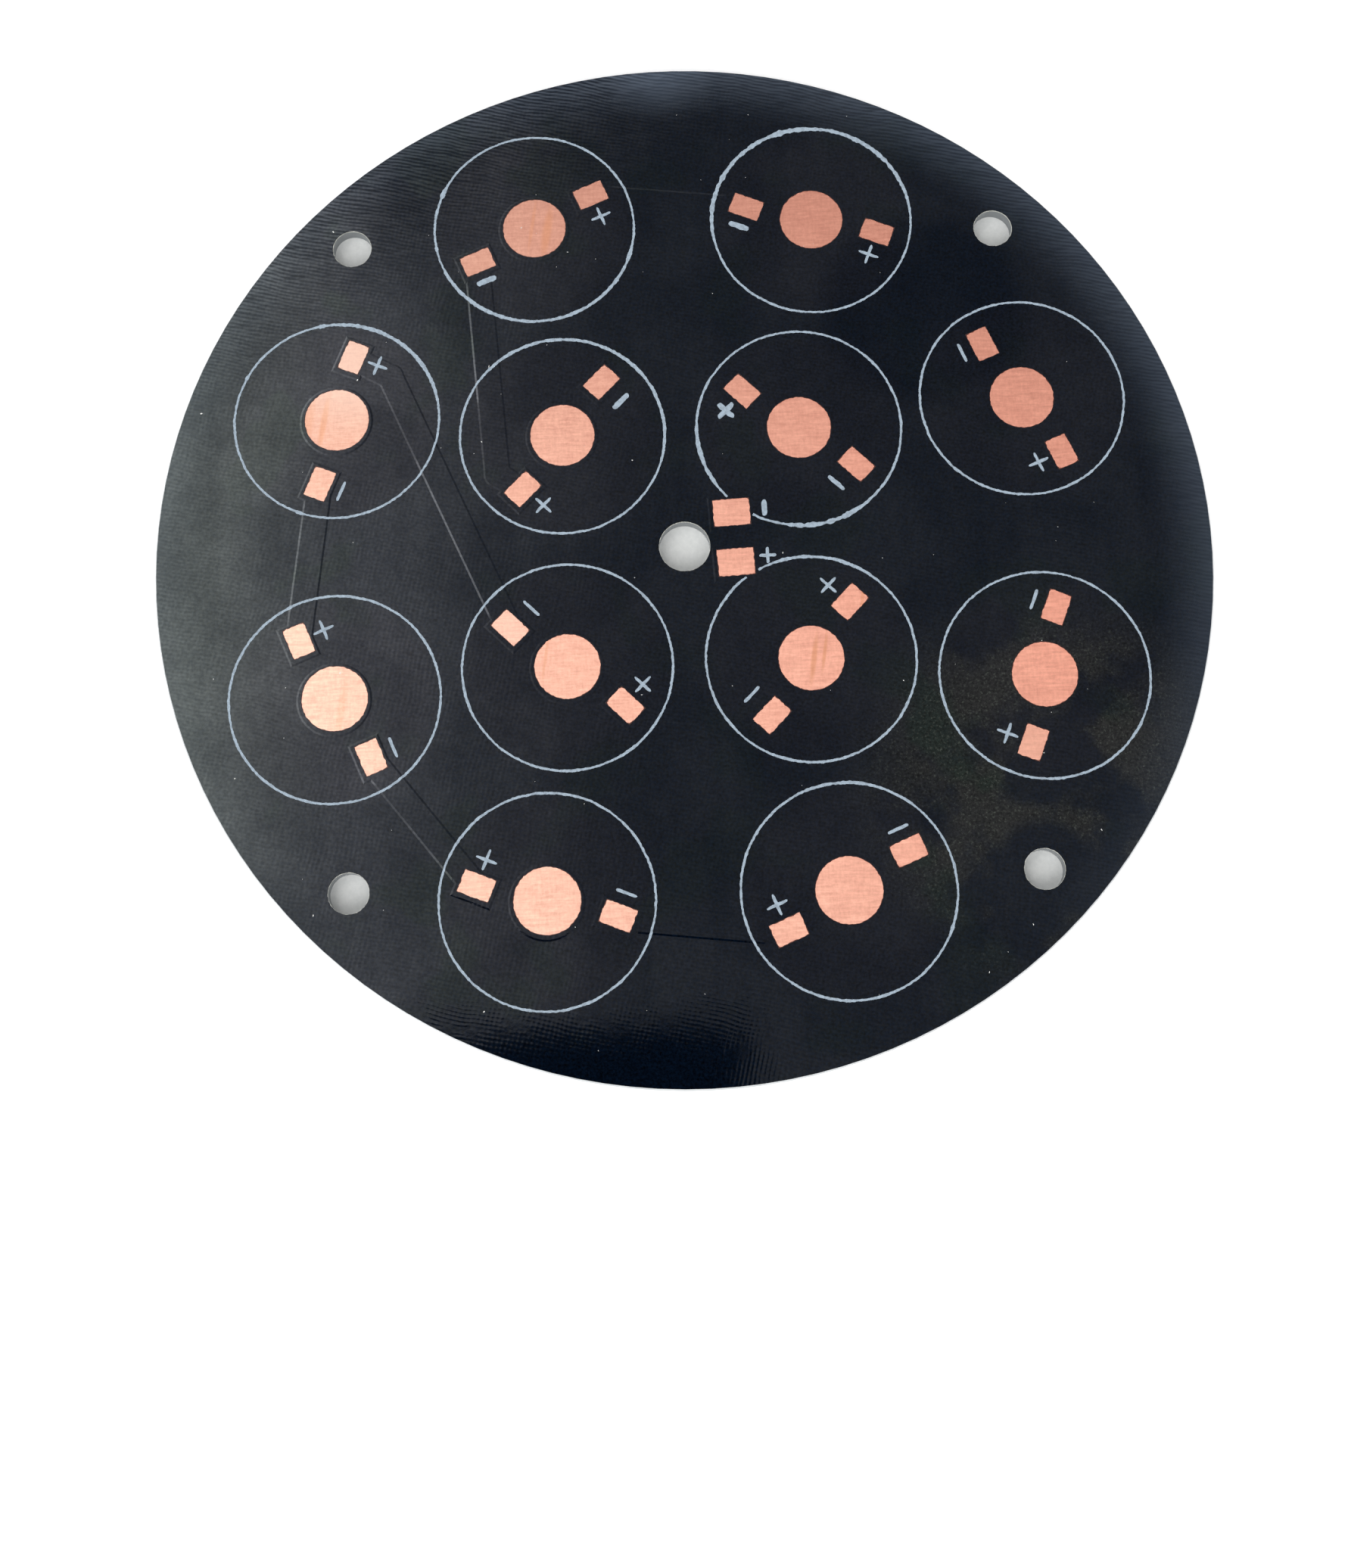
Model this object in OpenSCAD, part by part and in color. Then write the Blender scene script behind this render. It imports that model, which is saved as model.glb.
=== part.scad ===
// Round LED board: a bare circuit board with an aluminium core, component side up.
// Twelve LED sites in two rows are linked in series by etched tracks under a black solder mask.
// The back of the core lies on z = 0, centred on the origin.

/* [Blank] */
// Diameter of the round blank
board_d = 112; // [106:1:140]
// Thickness of the aluminium core
core_t = 1.5; // [1:0.1:3.2]
// Chamfer on the cut rim of the component side
edge_break = 0.15; // [0.05:0.05:0.4]
// Diameter of the wire hole at the centre
wire_hole_d = 5.4; // [3:0.1:5.8]
// Diameter of the circle through the screw holes
screw_pcd = 100; // [96:0.5:101]
// Diameter of a screw hole
screw_hole_d = 4.2; // [3.2:0.1:5]

/* [Layers] */
// Thickness of the insulating layer
dielectric_t = 0.1; // [0.05:0.01:0.2]
// Thickness of the copper foil
copper_t = 0.035; // [0.018:0.001:0.105]
// Thickness of the solder mask
mask_t = 0.025; // [0.015:0.001:0.05]
// Bare rim that the mask leaves round a hole
mask_setback = 0.1; // [0.05:0.05:0.2]
// Width of the slope where the mask steps down off the copper
mask_slope = 0.2; // [0.1:0.02:0.3]
// Thickness of the printed ink
ink_t = 0.02; // [0.01:0.001:0.04]
// Sideways registration of mask and print over the copper
film_shift_x = 0.05; // [-0.15:0.01:0.15]
// Upward registration of mask and print over the copper
film_shift_y = 0.15; // [-0.15:0.01:0.15]

/* [LED sites] */
// Radius of the outer row of sites
outer_row_r = 40; // [38.5:0.5:43]
// Radius of the inner row of sites
inner_row_r = 18; // [16.5:0.5:19.5]
// Diameter of the bare copper under the LED's slug
slug_d = 7; // [5:0.1:8]
// Length of a solder pad, along the LED
pad_l = 3.5; // [2.5:0.1:4.5]
// Width of a solder pad, across the LED
pad_w = 2.5; // [2.3:0.1:3.2]
// Distance between the two pads of a site, along the LED
pad_pitch = 14.54; // [13:0.02:16]
// Distance of each pad's middle from the LED's middle line
pad_stagger = 1.1; // [0:0.1:2]
// Width of the copper hidden under the mask round a pad
copper_margin = 0.25; // [0.2:0.01:0.4]

/* [Printed rings] */
// Diameter of a ring, at the middle of its line
ring_d = 22; // [20:0.1:23]
// Width of the printed line
ring_line = 0.4; // [0.2:0.02:0.6]
// Bare gap left between the line and a feed pad
ink_clear = 0.15; // [0.05:0.01:0.4]

/* [Tracks] */
// Width of a track
track_w = 2.5; // [1:0.1:2.6]
// Swell of a track on each side of the round turn at a bend
bend_swell = 0.05; // [0.02:0.01:0.2]
// Run of the bent track across the LED, at the first outer pad
outer_jog = 4.6; // [3.5:0.1:6]
// Run of the bent track across the LED, at the next inner pad
inner_jog = 3.2; // [2.5:0.1:4]
// Run of both bends along the LED
jog_lead = 0.5; // [0:0.1:1]

/* [Feed pads] */
// Length of a feed pad
feed_l = 4; // [3:0.1:4.5]
// Width of a feed pad
feed_w = 3.05; // [2.6:0.05:3.6]
// Distance between the middles of the two feed pads
feed_pitch = 5.5; // [5:0.1:6.5]
// Distance from the wire hole's middle to the row of feed pads
feed_x = 5.2; // [5.2:0.1:6]
// Height of the row's middle above the wire hole's middle
feed_y = 0.7; // [0:0.1:1]
// Turn of the row of feed pads in degrees
feed_turn = 2.7; // [-5:0.1:5]

/* [Hidden] */
$fn = 128;
outer_count = 8;
inner_count = 4;
screw_count = 4;
site_count = outer_count + inner_count;
net_count = site_count + 1;

mask_color = "#1d2126";
copper_color = "#e0a184";
ink_color = "#8f9eaa";
core_color = "#c6c9cb";
dielectric_color = "#d9d6c8";

// Heights of the layers above the back of the core
copper_z = core_t + dielectric_t;
// Height of the mask above the dielectric, where copper lies under it
crest_t = copper_t + mask_t;
// Reach of the mask's slope, measured down at the dielectric
slope_foot = mask_slope * crest_t / copper_t;
// Overlap of a cutting shape past the faces that it cuts
past = 1;

film_shift = [film_shift_x, film_shift_y];
slug_copper_d = slug_d + 2 * copper_margin;
bend_d = track_w + 2 * bend_swell;
plus_pad = [pad_pitch / 2, pad_stagger];
minus_pad = -plus_pad;

// A point turned about the origin
function turned(p, a) = [p.x * cos(a) - p.y * sin(a), p.x * sin(a) + p.y * cos(a)];

// A site holds its middle, the heading of its own x axis, and where a bent track turns off its plus pad
function outer_site(a) = [turned([outer_row_r, 0], a), a - 90, [-jog_lead, -outer_jog]];
function inner_site(a) = [turned([inner_row_r, 0], a), a + 90, [jog_lead, -inner_jog]];
function on_site(site, p) = site[0] + turned(p, site[1]);

// The sites in the order of the series string: half the inner row, the outer row, the rest of the inner row
outer_step = 360 / outer_count;
inner_step = 360 / inner_count;
inner_lead = [for (i = [0 : inner_count / 2 - 1]) inner_site(-inner_step * (i + 0.5))];
outer_turn = [for (i = [0 : outer_count - 1]) outer_site(180 + outer_step * (i - 0.5))];
inner_tail = [for (i = [0 : inner_count / 2 - 1]) inner_site(180 - inner_step * (i + 0.5))];
sites = concat(inner_lead, outer_turn, inner_tail);

// A pad holds its middle, heading, length and width
function led_pad(site, p) = [on_site(site, p), site[1], pad_l, pad_w];
function feed_pad(side) =
    [[feed_x, feed_y] + turned([0, side * feed_pitch / 2], feed_turn), feed_turn, feed_l, feed_w];

// A net holds the pads at its two ends and the points between where its track bends
function changes_row(i) = i == len(inner_lead) - 1 || i == len(inner_lead) + len(outer_turn) - 1;
function bends(i) = changes_row(i) ? [on_site(sites[i + 1], plus_pad + sites[i + 1][2])] : [];
function link(i) = [led_pad(sites[i], minus_pad), led_pad(sites[i + 1], plus_pad), bends(i)];
feed_net = [feed_pad(-1), led_pad(sites[0], plus_pad), []];
return_net = [led_pad(sites[site_count - 1], minus_pad), feed_pad(1), []];
nets = concat([feed_net], [for (i = [0 : site_count - 2]) link(i)], [return_net]);
function route(net) = concat([net[0][0]], net[2], [net[1][0]]);

// Distance of a point from a straight run and from a whole route
function run_gap(p, a, b) = norm(p - a - (b - a) * max(0, min(1, (p - a) * (b - a) / ((b - a) * (b - a)))));
function route_gap(p, points) = min([for (i = [0 : len(points) - 2]) run_gap(p, points[i], points[i + 1])]);

// Farthest that the copper and the mask's slope spread from the route
pad_reach = norm([max(pad_l, feed_l), max(pad_w, feed_w)]) / 2;
net_reach = pad_reach + 2 * copper_margin + slope_foot + norm(film_shift);

// What the ring of site k runs over: nets, and the rings of earlier sites
function nets_under(k) =
    [for (net = nets) if (route_gap(sites[k][0], route(net)) < (ring_d + ring_line) / 2 + net_reach) net];
function rings_under(k) =
    [for (j = [0 : 1 : k - 1]) if (norm(sites[j][0] - sites[k][0]) < ring_d + ring_line) j];

function track_name(i) = str("copper_track_", i + 1);
function slug_name(k) = str("copper_slug_pad_", k + 1);
function ring_name(k) = str("printed_ring_", k + 1);

// Children placed at every screw hole and at the wire hole, with the hole's diameter in $hole_d
module each_hole() {
    for (i = [0 : screw_count - 1])
        rotate((i + 0.5) * 360 / screw_count)
            translate([screw_pcd / 2, 0])
                let ($hole_d = screw_hole_d) children();
    let ($hole_d = wire_hole_d) children();
}

// Disc over the whole blank, drawn back from the rim by the chamfer
module disc(thickness) {
    cylinder(d = board_d - 2 * edge_break, h = thickness);
}

// Cut of every hole right through a layer, widened on all sides
module holes(widen, thickness) {
    each_hole()
        translate([0, 0, -past])
            cylinder(d = $hole_d + 2 * widen, h = thickness + 2 * past);
}

// Children set at a, with their x axis towards b
module along(a, b) {
    translate(a)
        rotate(atan2(b.y - a.y, b.x - a.x))
            children();
}

module at_pad(pad) {
    translate(pad[0])
        rotate(pad[1])
            children();
}

// Outline of a pad, grown on every side
module pad_outline(pad, grow) {
    at_pad(pad)
        square([pad[2] + 2 * grow, pad[3] + 2 * grow], center = true);
}

module pad_block(pad, grow, height) {
    linear_extrude(height)
        pad_outline(pad, grow);
}

// Outline of one net's copper: a pad at each end, straight tracks between and a round turn at each bend
module net_outline(net) {
    points = route(net);
    for (end = [0, 1])
        pad_outline(net[end], copper_margin);
    for (i = [0 : len(points) - 2])
        along(points[i], points[i + 1])
            translate([0, -track_w / 2])
                square([norm(points[i + 1] - points[i]), track_w]);
    for (bend = net[2])
        translate(bend)
            circle(d = bend_d);
}

module net_copper(net, height) {
    linear_extrude(height)
        net_outline(net);
}

module slug_copper(site, height) {
    translate(site[0])
        cylinder(d = slug_copper_d, h = height);
}

// Bank of mask over a straight strip of copper along x, with sloped sides
module bank(length, width) {
    half = width / 2;
    rotate([90, 0, 90])
        linear_extrude(length)
            polygon([[-half - slope_foot, 0], [half + slope_foot, 0], [half, crest_t], [-half, crest_t]]);
}

// Mound of mask over a pad, sloped on all four sides
module pad_mound(pad) {
    length = pad[2] + 2 * copper_margin;
    width = pad[3] + 2 * copper_margin;
    at_pad(pad)
        intersection() {
            translate([-length / 2 - past, 0, 0])
                bank(length + 2 * past, width);
            rotate(90)
                translate([-width / 2 - past, 0, 0])
                    bank(width + 2 * past, length);
        }
}

// Mound of mask over a round piece of copper
module round_mound(diameter) {
    cylinder(d1 = diameter + 2 * slope_foot, d2 = diameter, h = crest_t);
}

// Relief of the mask over one net
module net_relief(net) {
    points = route(net);
    for (end = [0, 1])
        pad_mound(net[end]);
    for (i = [0 : len(points) - 2])
        along(points[i], points[i + 1])
            bank(norm(points[i + 1] - points[i]), track_w);
    for (bend = net[2])
        translate(bend)
            round_mound(bend_d);
}

module base_plate() {
    color(core_color)
        difference() {
            union() {
                cylinder(d = board_d, h = core_t - edge_break);
                translate([0, 0, core_t - edge_break])
                    cylinder(d1 = board_d, d2 = board_d - 2 * edge_break, h = edge_break);
            }
            holes(0, core_t);
        }
}

module dielectric_layer() {
    color(dielectric_color)
        translate([0, 0, core_t])
            difference() {
                disc(dielectric_t);
                holes(0, dielectric_t);
            }
}

module copper_track(i) {
    color(copper_color)
        translate([0, 0, copper_z])
            net_copper(nets[i], copper_t);
}

module copper_slug_pad(k) {
    color(copper_color)
        translate([0, 0, copper_z])
            slug_copper(sites[k], copper_t);
}

// One skin that follows the copper, open over the pads and slugs
module solder_mask() {
    color(mask_color)
        translate([0, 0, copper_z])
            difference() {
                union() {
                    disc(mask_t);
                    for (net = nets)
                        net_relief(net);
                    for (site = sites)
                        translate(site[0])
                            round_mound(slug_copper_d);
                }
                holes(mask_setback, crest_t);
                translate([0, 0, -past]) {
                    for (net = nets)
                        net_copper(net, copper_t + past);
                    for (site = sites)
                        slug_copper(site, copper_t + past);
                }
                translate([film_shift.x, film_shift.y, -past]) {
                    for (net = nets, end = [0, 1])
                        pad_block(net[end], 0, crest_t + 2 * past);
                    for (site = sites)
                        translate(site[0])
                            cylinder(d = slug_d, h = crest_t + 2 * past);
                }
            }
}

// Upright band of the ring of site k, standing on the mask
module ring_band(k, line, height) {
    translate([sites[k][0].x + film_shift.x, sites[k][0].y + film_shift.y, mask_t])
        difference() {
            cylinder(d = ring_d + line, h = height);
            translate([0, 0, -past])
                cylinder(d = ring_d - line, h = height + 2 * past);
        }
}

// Ink of the ring of site k, laid over the mask and its relief
module ring_ink(k, thickness) {
    crossed_nets = nets_under(k);
    difference() {
        union() {
            ring_band(k, ring_line, thickness);
            intersection() {
                ring_band(k, ring_line, copper_t + thickness);
                translate([0, 0, thickness])
                    for (net = crossed_nets)
                        net_relief(net);
            }
        }
        for (net = crossed_nets)
            net_relief(net);
    }
}

// One ring, lapped over the earlier rings that it crosses and stopped at a feed pad
module printed_ring(k) {
    color(ink_color)
        translate([0, 0, copper_z])
            difference() {
                union() {
                    ring_ink(k, ink_t);
                    for (j = rings_under(k))
                        intersection() {
                            ring_ink(k, 2 * ink_t);
                            ring_band(j, ring_line + 2 * ink_t, past);
                        }
                }
                for (j = rings_under(k))
                    ring_ink(j, ink_t);
                translate([film_shift.x, film_shift.y, -past])
                    for (side = [-1, 1])
                        pad_block(feed_pad(side), ink_clear, 2 * past);
            }
}

base_plate();
dielectric_layer();
solder_mask();
for (i = [0 : net_count - 1])
    copper_track(i);
for (k = [0 : site_count - 1])
    copper_slug_pad(k);
for (k = [0 : site_count - 1])
    printed_ring(k);
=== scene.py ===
import math
import random

import bmesh
import bpy
from mathutils import Matrix, Vector, noise
from mathutils.bvhtree import BVHTree


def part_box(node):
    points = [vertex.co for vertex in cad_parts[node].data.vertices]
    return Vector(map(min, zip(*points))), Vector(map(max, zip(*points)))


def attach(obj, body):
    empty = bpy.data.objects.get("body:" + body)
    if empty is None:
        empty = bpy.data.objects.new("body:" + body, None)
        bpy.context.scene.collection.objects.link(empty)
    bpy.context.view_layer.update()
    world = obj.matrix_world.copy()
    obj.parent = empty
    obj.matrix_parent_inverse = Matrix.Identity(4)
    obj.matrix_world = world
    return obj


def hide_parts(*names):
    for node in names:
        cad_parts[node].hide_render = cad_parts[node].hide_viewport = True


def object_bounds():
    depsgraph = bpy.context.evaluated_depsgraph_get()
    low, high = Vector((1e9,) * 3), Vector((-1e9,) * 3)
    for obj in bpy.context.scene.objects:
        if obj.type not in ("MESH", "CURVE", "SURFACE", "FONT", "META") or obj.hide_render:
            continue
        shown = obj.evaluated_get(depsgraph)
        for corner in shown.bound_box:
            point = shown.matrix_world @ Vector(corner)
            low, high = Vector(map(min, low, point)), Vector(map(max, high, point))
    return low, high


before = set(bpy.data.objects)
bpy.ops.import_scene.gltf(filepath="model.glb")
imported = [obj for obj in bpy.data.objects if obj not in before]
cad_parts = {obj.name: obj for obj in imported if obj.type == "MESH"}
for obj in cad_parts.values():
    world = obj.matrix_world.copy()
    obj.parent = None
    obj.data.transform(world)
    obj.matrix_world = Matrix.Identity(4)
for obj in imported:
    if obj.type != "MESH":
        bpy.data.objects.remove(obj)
box_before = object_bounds()
dice = random.Random(41)

MM = 0.001  # the sizes and places below are in millimetres
UP = Vector((0, 0, 1))

# LED sites, in the order of the series string, and the windows over their pads
SITE_COUNT = 12
NET_COUNT = SITE_COUNT + 1
ROW_SPLIT = 30  # sites farther out than this are in the outer row
SLUG_WINDOW_R = 3.5
PAD_WINDOW = (3.5, 2.5)
PLUS_PAD = Vector((7.27, 1.1, 0))
FEED_WINDOW = (4.0, 3.05)
FEED_TURN = math.radians(2.7)
FEED_MIDDLES = (Vector((5.07, 3.45, 0)), Vector((5.33, -2.05, 0)))
FEED_CLEAR = 0.15

# Holes through the board
WIRE_HOLE_R = 2.7
SCREW_HOLE_R = 2.1
SCREW_CIRCLE_R = 50.0
SCREW_COUNT = 4
FIRST_SCREW = 45  # direction in degrees
BORE_FIELD_R = 53.5  # all bores lie within this radius
MASK_SETBACK = 0.1

# Printed rings: the line, and how uneven its two edges are
RING_R = 11.0
RING_LINE = 0.24
RING_STEPS = 600
LEAST_HALF_LINE = 0.06
INK_T = 0.02
NICK_DEPTH = 0.04
NICK_SIZE = 0.3
WAVE_DEPTH = 0.03
WAVE_SIZE = 1.6
EDGE_SEED = 20

# Where the ink ran: site, direction on the ring in degrees, half spread in degrees, added width
RING_BLOTS = (
    (1, 82, 30, 0.10),
    (3, 55, 42, 0.20),
    (3, 99, 2, 0.22),
    (3, 152, 1.5, 0.18),
    (3, 249, 2, 0.16),
    (4, 116, 1.5, 0.14),
    (6, 90, 25, 0.08),
    (6, 338, 1.2, 0.16),
    (8, 226, 2, 0.16),
    (9, 40, 2.5, 0.14),
    (9, 100, 95, 0.22),
    (9, 107, 3, 0.12),
    (10, 155, 4, 0.22),
    (10, 169, 3, 0.12),
    (10, 191, 1.5, 0.18),
    (10, 235, 35, 0.15),
    (10, 300, 40, 0.08),
    (10, 323, 2, 0.16),
    (10, 342, 5, 0.14),
    (11, 60, 80, 0.11),
    (12, 195, 20, 0.20),
    (12, 285, 25, 0.26),
)
BLOT_FALL = 4  # power by which a blot falls off to its ends
BLOT_WAVE = 0.5
BLOT_WAVE_SIZE = 1.2
BLOT_WAVE_SEED = 40
BLOT_TEAR = 0.55
BLOT_TEAR_SIZE = 0.4
BLOT_TEAR_SEED = 60

# Polarity signs: their places beside the pads, half length, stroke, and how far a stroke narrows to its tip
OUTER_PLUS_SIGN = Vector((7.3, -1.7, 0))
OUTER_MINUS_SIGN = Vector((-7.25, -3.55, 0))
INNER_PLUS_SIGN = Vector((7.05, 3.96, 0))
INNER_MINUS_SIGN = Vector((-7.1, 1.93, 0))
FEED_PLUS_SIGN = Vector((8.74, -1.28, 0))
FEED_MINUS_SIGN = Vector((8.63, 4.0, 0))
SIGN_REACH = 1.15
FEED_SIGN_REACH = 0.9
SIGN_STROKE = 0.33
BLOT_STROKE = 0.6
THIN_BLOT_STROKE = 0.45
FEED_PLUS_STROKE = 0.36
FEED_MINUS_STROKE = 0.56
PLUS_TAPER = 0.2
MINUS_TAPER = 0.05
FEED_SIGN_TAPER = 0.15
BLOTTED_SITES = (9, 10, 11, 12)
SIGN_STEPS = 12
TIP_FALL = 8  # power by which an arm rounds off to its tip
TIP_WHOLE = 1.04
WOBBLE = 0.09
WOBBLE_SIZE = 0.4
SIDEWAYS_SEED = 50
MINUS_SEED = 20
FEED_PLUS_SEED = 71
FEED_MINUS_SEED = 72

# Feathered edge of the mask
FEATHER_T = 0.008
FEATHER_REACH = 0.12
FEATHER_LEAST = 0.01
FEATHER_SIZE = 0.35
FEATHER_STEPS = 160
FEATHER_CELL = 0.14
CORNER_FILL = 0.10
CORNER_SIZE = 0.25
SLUG_FEATHER_SHARE = 0.2
HOLE_FEATHER_SHARE = 0.6
PAD_SEED = 30
FEED_SEED = 80
HOLE_SEED = 90

# Dust
DUST_COUNT = 80
DUST_FIELD_R = 54.5
DUST_HOLE_CLEAR = 0.4
DUST_LEAST = 0.035
DUST_SPREAD = 0.065
DUST_LUMPS = (0.6, 1.3)
DUST_LENGTH = (0.8, 2.0)
DUST_WIDTH = (0.5, 1.0)
DUST_FLATNESS = 0.25

# Floor of paper, with its rim radius in metres, and where it opens to full white beside the board
FLOOR_R = 3.0
FLOOR_DROP = 0.05
FLOOR_STEPS = 128
HOLE_STEPS = 48
OPEN_FLOOR = (53, 55.5)
FLOOR_GLOW = 0.14

# Camera, as the photograph was taken
AIM = Vector((-1.10, -3.80, 1.66))
AZIMUTH = math.radians(-2.03)
ELEVATION = math.radians(74.97)
CAMERA_AWAY = 216.49
LENS = 47.15
SENSOR_WIDTH = 36
SHIFT_UP = -0.1293

# Lamp, low at the near left; its place and size are in metres
LAMP_PLACE = Vector((-0.7, -0.6, 0.45))
LAMP_SIZE = 0.5
LAMP_WATTS = 3.0

# Settings that many shader nodes share
TIMES = {"operation": "MULTIPLY"}
TIMES_PLUS = {"operation": "MULTIPLY_ADD"}
POWER = {"operation": "POWER"}
MOST = {"operation": "MAXIMUM"}
LEAST = {"operation": "MINIMUM"}
APART = {"operation": "DISTANCE"}
LENGTH = {"operation": "LENGTH"}
RESIZE = {"operation": "SCALE"}
SMOOTH = {"interpolation_type": "SMOOTHSTEP"}
COLOURS = {"data_type": "RGBA"}
VECTORS = {"data_type": "VECTOR"}

# Numbers of sockets: the span that a Map Range reads and what its ends give, and the two sides of a Mix
START = 1
END = 2
AT_START = 3
AT_END = 4
VALUE_A = 2
VALUE_B = 3
VECTOR_A = 4
VECTOR_B = 5
COLOUR_A = 6
COLOUR_B = 7


def linear(hex_colour):
    """An sRGB hex colour as the linear values that a socket takes."""
    parts = [int(hex_colour[i:i + 2], 16) / 255 for i in (1, 3, 5)]
    return [p / 12.92 if p <= 0.04045 else ((p + 0.055) / 1.055) ** 2.4 for p in parts] + [1.0]


def add(tree, kind, inputs, **settings):
    """One shader node; each input is a plain value, a socket, or a node whose first live output feeds it."""
    made = tree.nodes.new("ShaderNode" + kind)
    for name, value in settings.items():
        setattr(made, name, value)
    for name, value in inputs.items():
        if isinstance(value, bpy.types.Node):
            value = next(socket for socket in value.outputs if socket.enabled)
        if isinstance(value, bpy.types.NodeSocket):
            tree.links.new(value, made.inputs[name])
        else:
            made.inputs[name].default_value = value
    return made


def start(name):
    """A new material, its emptied node tree, and the place on the board in millimetres."""
    made = bpy.data.materials.new(name)
    made.use_nodes = True
    tree = made.node_tree
    tree.nodes.clear()
    place = add(tree, "TexCoord", {})
    return made, tree, add(tree, "VectorMath", {0: place.outputs["Object"], "Scale": 1 / MM}, **RESIZE)


def close(tree, surface):
    """Joins a surface shader to the material's output."""
    add(tree, "OutputMaterial", {"Surface": surface})


def middle(node):
    """Middle of a CAD node seen from above."""
    low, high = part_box(node)
    return Vector(((low.x + high.x) / 2 / MM, (low.y + high.y) / 2 / MM, 0))


film_shift = middle("printed_ring_3") - middle("copper_slug_pad_3")
copper_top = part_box("copper_slug_pad_1")[1].z / MM
resin_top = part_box("dielectric_layer")[1].z / MM
board_r = box_before[1].x / MM
sites = []
for k in range(1, SITE_COUNT + 1):
    spot = middle(f"copper_slug_pad_{k}")
    side = -1 if spot.length > ROW_SPLIT else 1
    sites.append((spot, math.atan2(spot.y, spot.x) + side * math.pi / 2))
holes = [(Vector((0, 0, 0)), WIRE_HOLE_R)]
for i in range(SCREW_COUNT):
    turn = math.radians(FIRST_SCREW + 360 / SCREW_COUNT * i)
    holes.append((Vector((math.cos(turn), math.sin(turn), 0)) * SCREW_CIRCLE_R, SCREW_HOLE_R))


# Solder mask: its patterns, sized in millimetres
THREAD_TURN = math.radians(13)
WEFT_PITCH = 0.42
WARP_PITCH = 0.48
WAVE_BAND = math.pi / 10  # length of one band of the wave texture at scale 1
WANDER_SIZE = 9
WANDER_REACH = 1.6
WEAVE_PATCH_SIZE = 22
WEAVE_BREAK_SIZE = 2.2
STROKE_STRETCH = (0.4, 3.6, 1)
SWATH_STRETCH = (0.5, 0.04, 1)
GRAIN_SIZE = 0.5
GRAIN_SHARE = 1.2
RELIEF = 0.0009
DRIFT_SIZE = 13
FINE_SIZE = 0.3
SPECK_SIZE = 0.28
TINGE_SIZE = 10
TINGE_SHIFT = (170, 0, 0)
MIRROR_SHARE = 0.6

# Darker clouds in the lacquer: x, y, radius of the full cloud, radius where it ends, share of the mirror left
DARK_CLOUDS = (
    (0, 46, 5, 13, 0.84),
    (28, 27, 9, 13, 0.56),
    (-36, -36, 6, 14, 0.72),
    (-37, 0, 4, 12, 0.82),
    (-28, 46, 4, 11, 0.72),
)

# Dusty haze on the lower right: its middle, the hole that is wiped clean in it, and its blotches and powder
HAZE_MIDDLE = (37, -27, 1.6)
HAZE_RADII = (23, 11)
HAZE_HOLE = (35.4, -35.4, 1.6)
HAZE_HOLE_RADII = (4.0, 6.0)
HAZE_BLOTCH_SIZE = 9
POWDER_SIZE = 0.22

# Painted rim sheen, standing for light that the rim mirrors: where it starts and ends, how it falls off, and
# the painted pale spot at the far end
SHEEN_RIM_RADII = (49.5, 55.5)
SHEEN_RIM_FALL = 1.7
FAR_SHEEN_SPOT = (-1, 57, 1.6)
FAR_SHEEN_SPOT_RADII = (8, 1)


def nearest_site(tree, place):
    """Distance to the middle of the nearest LED site."""
    nearest = 2 * RING_R
    for spot, _ in sites:
        away = add(tree, "VectorMath", {0: place, 1: spot + film_shift + copper_top * UP}, **APART)
        nearest = add(tree, "Math", {0: away, 1: nearest}, **LEAST)
    return nearest


def screen_weave(tree, place):
    """Threads of the printing screen: the wandering place, the weft alone, and both directions by patches."""
    wander = add(tree, "TexNoise", {"Vector": place, "Scale": 1 / WANDER_SIZE, "Detail": 2})
    bend = add(tree, "VectorMath", {0: wander.outputs["Color"], "Scale": WANDER_REACH}, **RESIZE)
    woven = add(tree, "VectorMath", {0: place, 1: bend})
    turned = add(tree, "Mapping", {"Vector": woven, "Rotation": (0, 0, THREAD_TURN)})
    weft = add(tree, "TexWave", {"Vector": turned, "Scale": WAVE_BAND / WEFT_PITCH}, bands_direction="Y")
    warp = add(tree, "TexWave", {"Vector": turned, "Scale": WAVE_BAND / WARP_PITCH}, bands_direction="X")
    weft = weft.outputs["Fac"]
    cloud = add(tree, "TexNoise", {
        "Vector": place, "Scale": 1 / WEAVE_PATCH_SIZE, "Detail": 2, "Roughness": 0.5})
    patch = add(tree, "MapRange", {
        "Value": cloud, START: 0.44, END: 0.56, AT_START: 0.4, AT_END: 1.0}, **SMOOTH)
    other = add(tree, "Math", {0: 1.4, 1: patch}, operation="SUBTRACT")
    weft_seen = add(tree, "Math", {0: weft, 1: patch}, **TIMES)
    warp_seen = add(tree, "Math", {0: warp.outputs["Fac"], 1: other}, **TIMES)
    both = add(tree, "Math", {0: weft_seen, 1: warp_seen})
    broken = add(tree, "TexNoise", {"Vector": place, "Scale": 1 / WEAVE_BREAK_SIZE, "Detail": 2})
    strength = add(tree, "MapRange", {"Value": broken, START: 0.3, END: 0.6}, **SMOOTH)
    return woven, weft, add(tree, "Math", {0: both, 1: strength}, **TIMES)


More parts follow.
